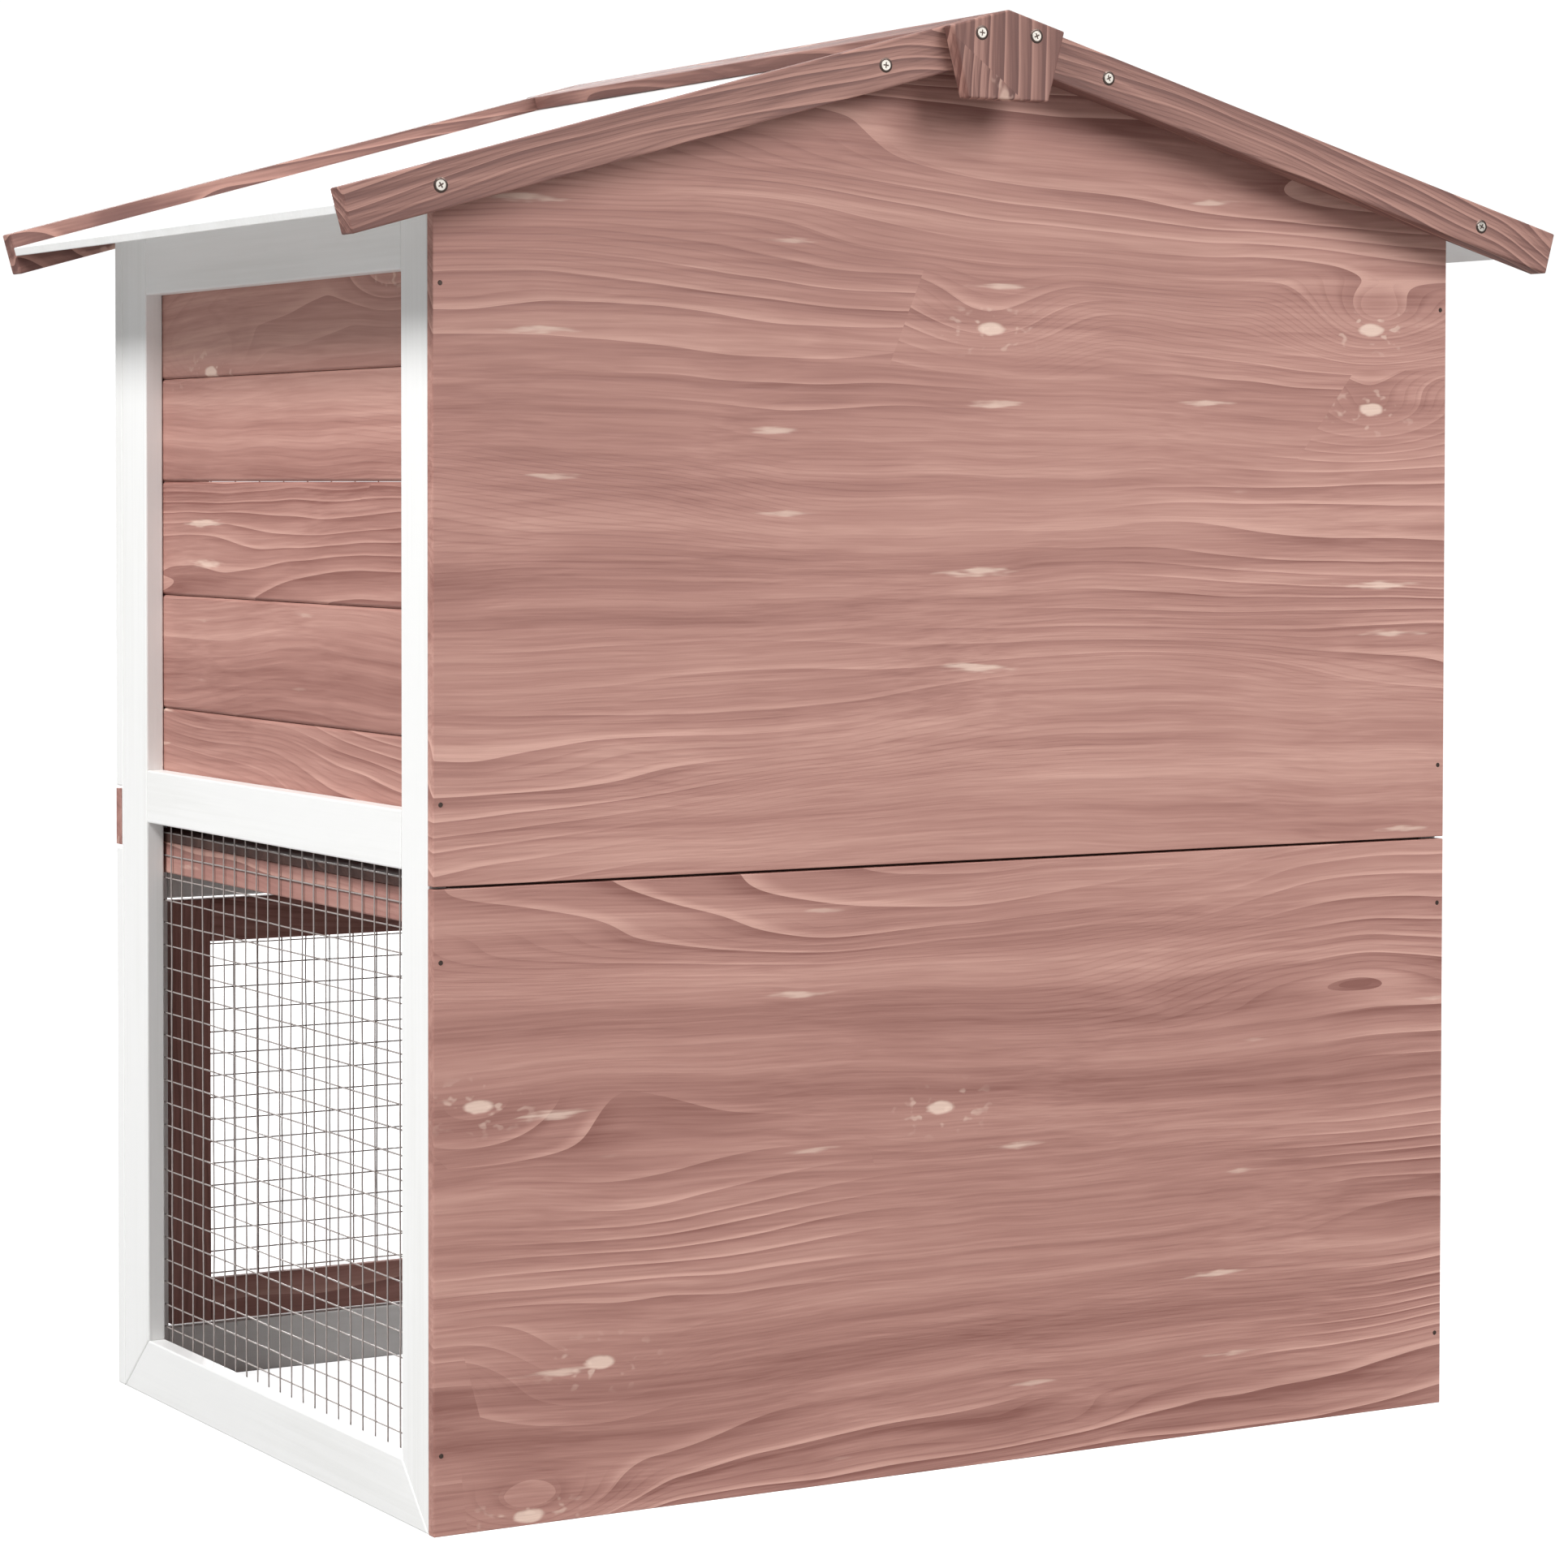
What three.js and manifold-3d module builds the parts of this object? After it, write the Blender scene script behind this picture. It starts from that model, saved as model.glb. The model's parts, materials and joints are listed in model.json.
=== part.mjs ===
// Two-storey rabbit hutch with a gable roof, in millimetres.
// Origin: on the ground under the middle of the hutch. +X right (seen from the front), +Y back, +Z up.
// The doors, the tray and the turn buttons are at the front, which faces -Y.
import * as THREE from 'three';
import { mergeVertices } from 'three/addons/utils/BufferGeometryUtils.js';
import Module from 'manifold-3d';

// ---- body ----
const bodyWidth = 784;
const bodyDepth = 528;
const wallHeight = 828; // ground to the roof's underside at the outer face of a side wall
const stock = 13; // thickness of the planed battens of all the frames
const backThickness = 8;
const fit = 0.3; // gap kept between pieces that touch

// ---- side walls ----
const sideFrontStileWidth = 45;
const sideRearStileWidth = 38;
const sideBottomRailHeight = 40;
const sideMidRailHeight = 37;
const sideTopRailHeight = 48; // at its outer face
const plankThickness = 8;
const plankShares = [64, 80, 80, 72, 80]; // widths against each other, bottom to top
const plankTopLap = 21; // top plank behind the top rail
const plankBevel = 1.5;
const meshLap = 16; // mesh behind the frame, on every edge
const plankStart = 17; // lowest plank's bottom edge above the middle rail's bottom edge

// ---- front ----
const frontStileWidth = 34;
const frontBottomRailHeight = 38;
const frontMidRailHeight = 38;
const gableEdgeHeight = 50; // gable board's height at the outer face of a side wall
const doorGap = 2;
const doorMember = 31;
const doorBarOffset = -60; // centre of the upper door's bar, from the middle of the hutch
const rebateDepth = 7;
const rebateWidth = 6;
const panelThickness = 6;

// ---- roof ----
const roofPitch = THREE.MathUtils.degToRad(15.6);
const roofSideOverhang = 74; // wall to the end of a barge board
const roofEndOverhang = 12; // back panel or front frame to the inner face of a barge board
const roofBoardThickness = 6;
const ridgeStripWidth = 48;
const ridgeStripThickness = 10;
const bargeHeight = 29;
const bargeThickness = 16;
const capShoulder = 43;
const capFoot = 30.5;
const capHeight = 58;
const capThickness = 12;

// ---- floor, tray and ramp ----
const runnerHeight = 22;
const runnerWidth = 18;
const floorHeight = 394; // underside of the upper floor
const midRailAboveFloor = 14; // side middle rail's bottom edge over the floor's underside
const traySlotBelowFloor = 7; // tray slot's bottom edge under the floor's underside
const trayHeadroom = 7; // over the pan, up to the upper opening
const floorThickness = 6;
const holeLength = 250;
const holeWidth = 176;
const holeFromLeft = 44; // hole's left edge, from the floor's left edge
const holeFromBack = 21;
const trayFrontThickness = 10;
const trayFrontGap = 2; // over and under the tray front
const panHeight = 24;
const panWall = 1.2;
const panFromHole = 12.8;
const panFromRightStile = 3;
const panBackGap = 20;
const panFrontSetback = 22; // finger room behind the tray front
const fingerSlotLength = 90;
const fingerSlotHeight = 18;
const rampWidth = 165;
const rampThickness = 9;
const rampSlope = THREE.MathUtils.degToRad(45);
const cleatSize = 8;
const cleatCount = 6;
const cleatInset = 8; // from the ramp's edges
const cleatStart = 50; // first cleat from the dowel
const cleatEndRoom = 10;
const dowelRadius = 6;
const dowelPlay = 0.5;
const hangerThickness = 12;
const hangerMargin = 5; // wood around the dowel's hole
const rampHeadroom = 1; // between the cleats and the floor
const rampPivotFromHole = 12; // from the hole's left edge to the dowel

// ---- wire, hinges and turn buttons ----
const gridWire = 1.6; // simplified mesh: thicker wires, wider apart
const gridPitch = 64;
const hingeHeight = 40;
const hingeLeafWidth = 25;
const hingeSheet = 1.5;
const knuckleRadius = 3.2;
const pinRadius = 1.5;
const pinPlay = 0.3;
const middleKnuckle = 13.4;
const hingeInset = 55; // hinge centre from the top or bottom edge of its door
const buttonLength = 46;
const buttonWidth = 13;
const buttonThickness = 6;
const buttonFromOpening = 8; // pivot from the opening's edge
const buttonScrewRadius = 3.5;
const buttonScrewTopRadius = 2.45;
const buttonScrewHeight = 2;
const buttonScrewSink = 0.2; // head let into the button

// ---- shared places ----
const halfWidth = bodyWidth / 2;
const frontFace = -bodyDepth / 2;
const frontInner = frontFace + stock;
const backFace = bodyDepth / 2;
const backInner = backFace - backThickness;
const slope = Math.tan(roofPitch);
const plankInner = halfWidth - stock - fit - plankThickness;
const meshInner = halfWidth - stock - fit - gridWire;
const openingHalf = halfWidth - frontStileWidth;
const traySlotBottom = floorHeight - traySlotBelowFloor;
const traySlotHeight = traySlotBelowFloor + floorThickness + panHeight + trayHeadroom;
const trayFrontHeight = traySlotHeight - 2 * trayFrontGap;
const frontMidRailBottom = traySlotBottom - frontMidRailHeight;
const upperOpeningBottom = traySlotBottom + traySlotHeight;
const gableBottom = wallHeight - gableEdgeHeight;
const lowerOpeningHeight = frontMidRailBottom - frontBottomRailHeight;
const upperOpeningHeight = gableBottom - upperOpeningBottom;
const backJointHeight = floorHeight + floorThickness; // back panels meet level with the upper floor
const sideMidRailBottom = floorHeight + midRailAboveFloor;
const sideTopRailBottom = wallHeight - sideTopRailHeight;
const plankBase = sideMidRailBottom + plankStart;
const plankRise = sideTopRailBottom + plankTopLap - plankBase;

const stained = new THREE.MeshStandardMaterial({ color: 0xb2857a, roughness: 0.75, metalness: 0 });
const stainedTrim = new THREE.MeshStandardMaterial({ color: 0x9b6e64, roughness: 0.75, metalness: 0 });
const white = new THREE.MeshStandardMaterial({ color: 0xf2f2ef, roughness: 0.6, metalness: 0 });
const zinc = new THREE.MeshStandardMaterial({ color: 0xb4b8ba, roughness: 0.4, metalness: 0.9 });
const plywood = new THREE.MeshStandardMaterial({ color: 0xc9a98a, roughness: 0.8, metalness: 0 });

const wasm = await Module();
wasm.setup();

// ---------- geometry helpers ----------

function toSolid(geometry) {
  const bare = geometry.clone();
  bare.deleteAttribute('normal');
  bare.deleteAttribute('uv');
  const merged = mergeVertices(bare, 1e-4);
  const mesh = new wasm.Mesh({
    numProp: 3,
    vertProperties: new Float32Array(merged.attributes.position.array),
    triVerts: new Uint32Array(merged.index.array),
  });
  return new wasm.Manifold(mesh);
}

function toGeometry(solid) {
  const mesh = solid.getMesh();
  const geometry = new THREE.BufferGeometry();
  geometry.setAttribute('position', new THREE.BufferAttribute(new Float32Array(mesh.vertProperties), 3));
  geometry.setIndex(new THREE.BufferAttribute(new Uint32Array(mesh.triVerts), 1));
  geometry.computeVertexNormals();
  return geometry;
}

function box(low, high) {
  const [dx, dy, dz] = high.map((value, i) => value - low[i]);
  const geometry = new THREE.BoxGeometry(dx, dy, dz);
  return geometry.translate(low[0] + dx / 2, low[1] + dy / 2, low[2] + dz / 2);
}

function outline(points) {
  return new THREE.Shape(points.map(([u, v]) => new THREE.Vector2(u, v)));
}

function extrude(shape, depth) {
  return new THREE.ExtrudeGeometry(shape, { depth, bevelEnabled: false, curveSegments: 8 });
}

// outline in X and Z, run from y = 0 to y = length
function runAlongY(points, length) {
  return extrude(outline(points), length).rotateX(Math.PI / 2).translate(0, length, 0);
}

// outline in Y and Z, run from x = 0 to x = length
function runAlongX(points, length) {
  const turn = new THREE.Matrix4().makeBasis(
    new THREE.Vector3(0, 1, 0), new THREE.Vector3(0, 0, 1), new THREE.Vector3(1, 0, 0));
  return extrude(outline(points), length).applyMatrix4(turn);
}

function upright(radius, height, segments = 12) {
  return new THREE.CylinderGeometry(radius, radius, height, segments).rotateX(Math.PI / 2);
}

function piece(group, name, geometry, material, x = 0, y = 0, z = 0) {
  const mesh = new THREE.Mesh(geometry, material);
  mesh.name = name;
  mesh.position.set(x, y, z);
  group.add(mesh);
  return mesh;
}

// a plain batten or board between two corners, its mesh placed at its centre
function board(group, name, material, low, high) {
  const size = high.map((value, i) => value - low[i]);
  const middle = high.map((value, i) => (value + low[i]) / 2);
  return piece(group, name, new THREE.BoxGeometry(...size), material, ...middle);
}

// both edges of every wire across a span, in order
function wireEdges(span) {
  const cells = Math.round(span / gridPitch);
  const step = (span - gridWire) / cells;
  return Array.from({ length: cells + 1 }, (_, i) => [i * step, i * step + gridWire]).flat();
}

// Flat wire grid in X and Z, lower left corner at the origin, gridWire thick along +Y.
// Every crossing and every length of wire between two crossings is one rectangle.
function wireGrid(width, height) {
  const xs = wireEdges(width);
  const zs = wireEdges(height);
  const points = [];
  for (const y of [0, gridWire]) {
    for (const z of zs) {
      xs.forEach((x) => points.push(x, y, z));
    }
  }
  const inside = (i, j) => i >= 0 && j >= 0 && i < xs.length - 1 && j < zs.length - 1;
  const filled = (i, j) => inside(i, j) && (i % 2 === 0 || j % 2 === 0);
  const at = (i, j, back) => back * xs.length * zs.length + j * xs.length + i;
  const faces = [];
  const quad = (a, b, c, d) => faces.push(a, b, c, a, c, d);
  for (let i = 0; i < xs.length - 1; i += 1) {
    for (let j = 0; j < zs.length - 1; j += 1) {
      if (!filled(i, j)) continue;
      quad(at(i, j, 0), at(i + 1, j, 0), at(i + 1, j + 1, 0), at(i, j + 1, 0));
      quad(at(i, j, 1), at(i, j + 1, 1), at(i + 1, j + 1, 1), at(i + 1, j, 1));
      if (!filled(i - 1, j)) quad(at(i, j, 0), at(i, j + 1, 0), at(i, j + 1, 1), at(i, j, 1));
      if (!filled(i + 1, j)) quad(at(i + 1, j, 0), at(i + 1, j, 1), at(i + 1, j + 1, 1), at(i + 1, j + 1, 0));
      if (!filled(i, j - 1)) quad(at(i, j, 0), at(i, j, 1), at(i + 1, j, 1), at(i + 1, j, 0));
      if (!filled(i, j + 1)) quad(at(i, j + 1, 0), at(i + 1, j + 1, 0), at(i + 1, j + 1, 1), at(i, j + 1, 1));
    }
  }
  const geometry = new THREE.BufferGeometry();
  geometry.setAttribute('position', new THREE.Float32BufferAttribute(points, 3));
  geometry.setIndex(faces);
  return mergeVertices(geometry);
}

// height of the roof's underside above the ground
function underRoof(x) {
  return wallHeight + (halfWidth - Math.abs(x)) * slope;
}

// ---------- side walls ----------

// mitre between a stile and the bottom rail, as the rail's outline in Y and Z
function bottomRailOutline(front, back) {
  const frontShift = fit / Math.sin(Math.atan2(sideBottomRailHeight, sideFrontStileWidth));
  const rearShift = fit / Math.sin(Math.atan2(sideBottomRailHeight, sideRearStileWidth));
  return [
    [front + frontShift, 0],
    [back - rearShift, 0],
    [back - sideRearStileWidth - rearShift, sideBottomRailHeight],
    [front + sideFrontStileWidth + frontShift, sideBottomRailHeight],
  ];
}

function sideStile(side, outerY, innerY) {
  const outerX = side * halfWidth;
  const innerX = side * (halfWidth - stock);
  const section = [
    [outerX, 0],
    [outerX, underRoof(outerX) - fit],
    [innerX, underRoof(innerX) - fit],
    [innerX, 0],
  ];
  const reach = underRoof(0);
  const mitred = [[outerY, 0], [outerY, reach], [innerY, reach], [innerY, sideBottomRailHeight]];
  const low = Math.min(outerY, innerY);
  const column = toSolid(runAlongY(section, Math.abs(innerY - outerY)).translate(0, low, 0));
  const cut = toSolid(runAlongX(mitred, 2 * stock).translate(outerX - stock, 0, 0));
  return toGeometry(column.intersect(cut));
}

function sidePlanks(group, word, side) {
  const outerX = side * (halfWidth - stock - fit);
  const innerX = side * plankInner;
  const length = backInner - frontInner - 2 * fit;
  const shareTotal = plankShares.reduce((sum, share) => sum + share, 0);
  let base = plankBase;
  plankShares.forEach((share, i) => {
    const width = (plankRise * share) / shareTotal;
    const top = base + width - fit;
    const section = [
      [outerX - side * plankBevel, base],
      [outerX, base + plankBevel],
      [outerX, top - plankBevel],
      [outerX - side * plankBevel, top],
      [innerX, top],
      [innerX, base],
    ];
    piece(group, `${word}_plank_${i + 1}`, runAlongY(section, length), stained, 0, frontInner + fit, 0);
    base += width;
  });
}

function sideMesh(group, word, side, front, back) {
  const low = sideBottomRailHeight - meshLap;
  const high = plankBase - fit;
  const from = front + sideFrontStileWidth - meshLap;
  const to = back - sideRearStileWidth + meshLap;
  const grid = wireGrid(to - from, high - low).rotateZ(Math.PI / 2);
  const x = side > 0 ? halfWidth - stock - fit : -meshInner;
  piece(group, `${word}_wire_mesh`, grid, zinc, x, from, low);
}

function sideWall(side) {
  const wall = new THREE.Group();
  const word = side > 0 ? 'right' : 'left';
  const front = frontInner + fit;
  const back = backInner - fit;
  const innerFront = front + sideFrontStileWidth;
  const innerBack = back - sideRearStileWidth;
  const lowX = side > 0 ? halfWidth - stock : -halfWidth;
  const highX = lowX + stock;
  piece(wall, `${word}_front_stile`, sideStile(side, front, innerFront), white);
  piece(wall, `${word}_rear_stile`, sideStile(side, back, innerBack), white);
  const bottomRail = runAlongX(bottomRailOutline(front, back), stock);
  piece(wall, `${word}_bottom_rail`, bottomRail, white, lowX, 0, 0);
  board(wall, `${word}_middle_rail`, white,
    [lowX, innerFront + fit, sideMidRailBottom],
    [highX, innerBack - fit, sideMidRailBottom + sideMidRailHeight]);
  const topSection = [
    [side * halfWidth, sideTopRailBottom],
    [side * halfWidth, underRoof(halfWidth) - fit],
    [side * (halfWidth - stock), underRoof(halfWidth - stock) - fit],
    [side * (halfWidth - stock), sideTopRailBottom],
  ];
  const topRail = runAlongY(topSection, innerBack - innerFront - 2 * fit);
  piece(wall, `${word}_top_rail`, topRail, white, 0, innerFront + fit, 0);
  sidePlanks(wall, word, side);
  sideMesh(wall, word, side, front, back);
  return wall;
}

// ---------- back ----------

function backWall() {
  const wall = new THREE.Group();
  board(wall, 'back_panel_lower', stained,
    [-halfWidth, backInner, 0], [halfWidth, backFace, backJointHeight - fit]);
  const gable = [
    [-halfWidth, backJointHeight],
    [halfWidth, backJointHeight],
    [halfWidth, underRoof(halfWidth) - fit],
    [0, underRoof(0) - fit],
    [-halfWidth, underRoof(halfWidth) - fit],
  ];
  piece(wall, 'back_panel_upper', runAlongY(gable, backThickness), stained, 0, backInner, 0);
  return wall;
}

// ---------- front frame ----------

// full-height stile with a notch in its face for the end of the tray front
function frontStile(side) {
  const outerX = side * halfWidth;
  const innerX = side * openingHalf;
  const reach = underRoof(0);
  const notch = frontFace + trayFrontThickness + fit;
  const profile = [
    [frontInner, 0],
    [frontInner, reach],
    [frontFace, reach],
    [frontFace, upperOpeningBottom],
    [notch, upperOpeningBottom],
    [notch, traySlotBottom],
    [frontFace, traySlotBottom],
    [frontFace, 0],
  ];
  const top = [
    [outerX, 0],
    [outerX, underRoof(outerX) - fit],
    [innerX, underRoof(innerX) - fit],
    [innerX, 0],
  ];
  const batten = toSolid(runAlongX(profile, frontStileWidth).translate(Math.min(outerX, innerX), 0, 0));
  const roofCut = toSolid(runAlongY(top, 2 * stock).translate(0, frontFace - stock / 2, 0));
  return toGeometry(batten.intersect(roofCut));
}

function frontFrame() {
  const frame = new THREE.Group();
  piece(frame, 'front_left_stile', frontStile(-1), white);
  piece(frame, 'front_right_stile', frontStile(1), white);
  const half = openingHalf - fit;
  board(frame, 'front_bottom_rail', white, [-half, frontFace, 0], [half, frontInner, frontBottomRailHeight]);
  board(frame, 'front_middle_rail', white,
    [-half, frontFace, frontMidRailBottom], [half, frontInner, traySlotBottom]);
  const gable = [
    [-half, gableBottom],
    [half, gableBottom],
    [half, underRoof(half) - fit],
    [0, underRoof(0) - fit],
    [-half, underRoof(half) - fit],
  ];
  piece(frame, 'front_gable_board', runAlongY(gable, stock), white, 0, frontFace, 0);
  return frame;
}

// ---------- roof ----------

// Outline between two lines parallel to one roof slope, from a plumb cut at the ridge to a square end.
// low and high are heights above the roof's underside, end is the length down the slope.
function slopeOutline(side, low, high, end) {
  const point = (along, above) => [
    side * (along * Math.cos(roofPitch) + above * Math.sin(roofPitch)),
    underRoof(0) - along * Math.sin(roofPitch) + above * Math.cos(roofPitch),
  ];
  const ridge = (above) => point((fit / 2 - above * Math.sin(roofPitch)) / Math.cos(roofPitch), above);
  return [ridge(low), point(end, low), point(end, high), ridge(high)];
}

function ridgeCap() {
  const top = underRoof(0) + (roofBoardThickness + ridgeStripThickness) / Math.cos(roofPitch);
  const shoulder = top - capShoulder * slope;
  return [
    [0, top],
    [-capShoulder, shoulder],
    [-capFoot, top - capHeight],
    [capFoot, top - capHeight],
    [capShoulder, shoulder],
  ];
}

function roof() {
  const group = new THREE.Group();
  const bargeTop = roofBoardThickness + ridgeStripThickness;
  const reach = halfWidth + roofSideOverhang;
  const slopeLength = (reach - bargeTop * Math.sin(roofPitch)) / Math.cos(roofPitch);
  const boardStart = frontFace - roofEndOverhang;
  const boardLength = bodyDepth + 2 * roofEndOverhang;
  const backBarge = backFace + roofEndOverhang + fit;
  const frontBarge = boardStart - fit - bargeThickness;
  for (const side of [-1, 1]) {
    const word = side > 0 ? 'right' : 'left';
    const sheet = slopeOutline(side, 0, roofBoardThickness, slopeLength);
    piece(group, `roof_board_${word}`, runAlongY(sheet, boardLength), white, 0, boardStart, 0);
    const strip = slopeOutline(side, roofBoardThickness + fit, bargeTop, ridgeStripWidth);
    piece(group, `ridge_strip_${word}`, runAlongY(strip, boardLength), stainedTrim, 0, boardStart, 0);
    const barge = slopeOutline(side, bargeTop - bargeHeight, bargeTop, slopeLength);
    piece(group, `front_barge_${word}`, runAlongY(barge, bargeThickness), stainedTrim, 0, frontBarge, 0);
    piece(group, `rear_barge_${word}`, runAlongY(barge, bargeThickness), stainedTrim, 0, backBarge, 0);
  }
  const cap = ridgeCap();
  const capOffset = backBarge + bargeThickness + fit;
  piece(group, 'rear_ridge_cap', runAlongY(cap, capThickness), stainedTrim, 0, capOffset, 0);
  piece(group, 'front_ridge_cap', runAlongY(cap, capThickness), stainedTrim, 0, -capOffset - capThickness, 0);
  return group;
}

// ---------- upper floor and ramp ----------

const floorHalf = meshInner - fit;
const holeLeft = -floorHalf + holeFromLeft;
const holeBack = backInner - fit - holeFromBack;
const rampY = holeBack - holeWidth / 2;
const rampPivotX = holeLeft - rampPivotFromHole;
const rampPivotZ = floorHeight - fit - rampHeadroom - cleatSize - rampThickness / 2;

function upperFloor() {
  const holeRadius = dowelRadius + dowelPlay;
  const frontEdge = frontInner + fit;
  const backEdge = backInner - fit;
  const plate = toSolid(box(
    [-floorHalf, frontEdge, floorHeight], [floorHalf, backEdge, floorHeight + floorThickness]));
  const hole = toSolid(box(
    [holeLeft, holeBack - holeWidth, floorHeight - 1],
    [holeLeft + holeLength, holeBack, floorHeight + floorThickness + 1]));
  const dowelHole = toSolid(new THREE.CylinderGeometry(holeRadius, holeRadius, bodyDepth, 16))
    .translate([rampPivotX, rampY, rampPivotZ]);
  let floor = plate.subtract(hole);
  const reach = rampWidth / 2 + 2 * fit;
  const halfHanger = holeRadius + hangerMargin;
  for (const end of [-1, 1]) {
    const near = rampY + end * reach;
    const far = near + end * hangerThickness;
    const block = box(
      [rampPivotX - halfHanger, Math.min(near, far), rampPivotZ - halfHanger],
      [rampPivotX + halfHanger, Math.max(near, far), floorHeight + floorThickness / 2]);
    floor = floor.add(toSolid(block));
  }
  return toGeometry(floor.subtract(dowelHole));
}

// ramp lying level from its dowel towards +X, cleats on its upper face
function rampBoard() {
  const drop = rampPivotZ - fit - (rampThickness / 2) * Math.cos(rampSlope);
  const length = drop / Math.sin(rampSlope);
  let solid = toSolid(box(
    [0, -rampWidth / 2, -rampThickness / 2], [length, rampWidth / 2, rampThickness / 2]));
  const pitch = (length - cleatStart - cleatEndRoom) / cleatCount;
  const cleatHalf = rampWidth / 2 - cleatInset;
  for (let i = 0; i < cleatCount; i += 1) {
    const x = cleatStart + i * pitch;
    const cleat = box(
      [x, -cleatHalf, 0], [x + cleatSize, cleatHalf, rampThickness / 2 + cleatSize]);
    solid = solid.add(toSolid(cleat));
  }
  const dowelLength = rampWidth + 2 * hangerThickness;
  const dowel = new THREE.CylinderGeometry(dowelRadius, dowelRadius, dowelLength, 16);
  return toGeometry(solid.add(toSolid(dowel)));
}

function floors() {
  const group = new THREE.Group();
  for (const side of [-1, 1]) {
    const outer = side * (meshInner - fit);
    const inner = side * (meshInner - fit - runnerWidth);
    board(group, side > 0 ? 'right_tray_runner' : 'left_tray_runner', stained,
      [Math.min(outer, inner), frontInner + fit, floorHeight - fit - runnerHeight],
      [Math.max(outer, inner), backInner - fit, floorHeight - fit]);
  }
  piece(group, 'upper_floor', upperFloor(), plywood);
  const ramp = piece(group, 'ramp', rampBoard(), plywood, rampPivotX, rampY, rampPivotZ);
  ramp.rotation.y = rampSlope;
  return group;
}

// ---------- pull-out tray ----------

function tray() {
  const group = new THREE.Group();
  const right = openingHalf - panFromRightStile;
  const left = holeLeft + holeLength + panFromHole;
  const front = frontFace + trayFrontThickness + fit;
  const back = backInner - panBackGap;
  const low = floorHeight + floorThickness + fit;
  const high = low + panHeight;
  const wallY = front + panFrontSetback;
  const inner = box(
    [left + panWall, wallY + panWall, low + panWall], [right - panWall, back - panWall, high + 1]);
  const recess = box([left + panWall, front - 1, low + panWall], [right - panWall, wallY, high + 1]);
  const pan = toSolid(box([left, front, low], [right, back, high]))
    .subtract(toSolid(inner))
    .subtract(toSolid(recess));
  piece(group, 'tray_pan', toGeometry(pan), zinc);
  const slotRadius = fingerSlotHeight / 2;
  const straight = fingerSlotLength / 2 - slotRadius;
  const face = outline([
    [-halfWidth, 0],
    [halfWidth, 0],
    [halfWidth, trayFrontHeight],
    [-halfWidth, trayFrontHeight],
  ]);
  const slot = new THREE.Path();
  slot.absarc(straight, trayFrontHeight / 2, slotRadius, -Math.PI / 2, Math.PI / 2, false);
  slot.absarc(-straight, trayFrontHeight / 2, slotRadius, Math.PI / 2, 1.5 * Math.PI, false);
  face.holes.push(slot);
  const plate = extrude(face, trayFrontThickness).rotateX(Math.PI / 2).translate(0, trayFrontThickness, 0);
  const trayBottom = traySlotBottom + trayFrontGap;
  piece(group, 'tray_front', plate, stained, 0, frontFace, trayBottom);
  return group;
}

// ---------- doors ----------

// Door frame in X and Z from the origin, stock thick along +Y, with rebated bays from its front.
function doorFrame(width, height, bays) {
  let frame = toSolid(box([0, 0, 0], [width, stock, height]));
  for (const [from, to] of bays) {
    const low = doorMember;
    const high = height - doorMember;
    const opening = box([from, -1, low], [to, stock + 1, high]);
    const rebate = box(
      [from - rebateWidth, -1, low - rebateWidth],
      [to + rebateWidth, rebateDepth, high + rebateWidth]);
    frame = frame.subtract(toSolid(opening)).subtract(toSolid(rebate));
  }
  return toGeometry(frame);
}

// fixed leaf with its two outer knuckles and the pin; the pin stands on the group's origin
function fixedLeaf() {
  const half = hingeHeight / 2;
  const gap = middleKnuckle / 2 + pinPlay;
  const plate = toSolid(box(
    [-hingeLeafWidth, knuckleRadius - hingeSheet, -half], [0, knuckleRadius, half]));
  const notch = toSolid(box(
    [-knuckleRadius - pinPlay, -knuckleRadius, -gap], [1, knuckleRadius + 1, gap]));
  let leaf = plate.subtract(notch);
  const length = half - gap;
  for (const end of [-1, 1]) {
    leaf = leaf.add(toSolid(upright(knuckleRadius, length)).translate([0, 0, end * (gap + length / 2)]));
  }
  return toGeometry(leaf.add(toSolid(upright(pinRadius, hingeHeight - 1))));
}

function movingLeaf() {
  const half = hingeHeight / 2;
  const middle = middleKnuckle / 2;
  let leaf = toSolid(box([0, knuckleRadius - hingeSheet, -half], [hingeLeafWidth, knuckleRadius, half]));
  for (const end of [-1, 1]) {
    const near = end * middle;
    const far = end * (half + 1);
    const notch = box(
      [-1, -knuckleRadius, Math.min(near, far)],
      [knuckleRadius + pinPlay, knuckleRadius + 1, Math.max(near, far)]);
    leaf = leaf.subtract(toSolid(notch));
  }
  leaf = leaf.add(toSolid(upright(knuckleRadius, middleKnuckle)));
  return toGeometry(leaf.subtract(toSolid(upright(pinRadius + pinPlay, hingeHeight))));
}

const hingeX = -openingHalf + doorGap / 2;
const hingeY = frontFace - fit - knuckleRadius;

// A door's group stands on its hinge axis, at the door's bottom edge.
function doorGroup(bottom) {
  const group = new THREE.Group();
  group.position.set(hingeX, hingeY, bottom);
  return group;
}

function hinges(group, word, height) {
  for (const [place, z] of [['lower', hingeInset], ['upper', height - hingeInset]]) {
    piece(group, `${word}_${place}_hinge_fixed_leaf`, fixedLeaf(), zinc, 0, 0, z);
    piece(group, `${word}_${place}_hinge_door_leaf`, movingLeaf(), zinc, 0, 0, z);
  }
}

const doorWidth = 2 * openingHalf - 2 * doorGap;
const doorLeft = doorGap / 2; // door's hinge edge, from the hinge axis
const doorFront = frontFace - hingeY; // door's front face, from the hinge axis

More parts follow.
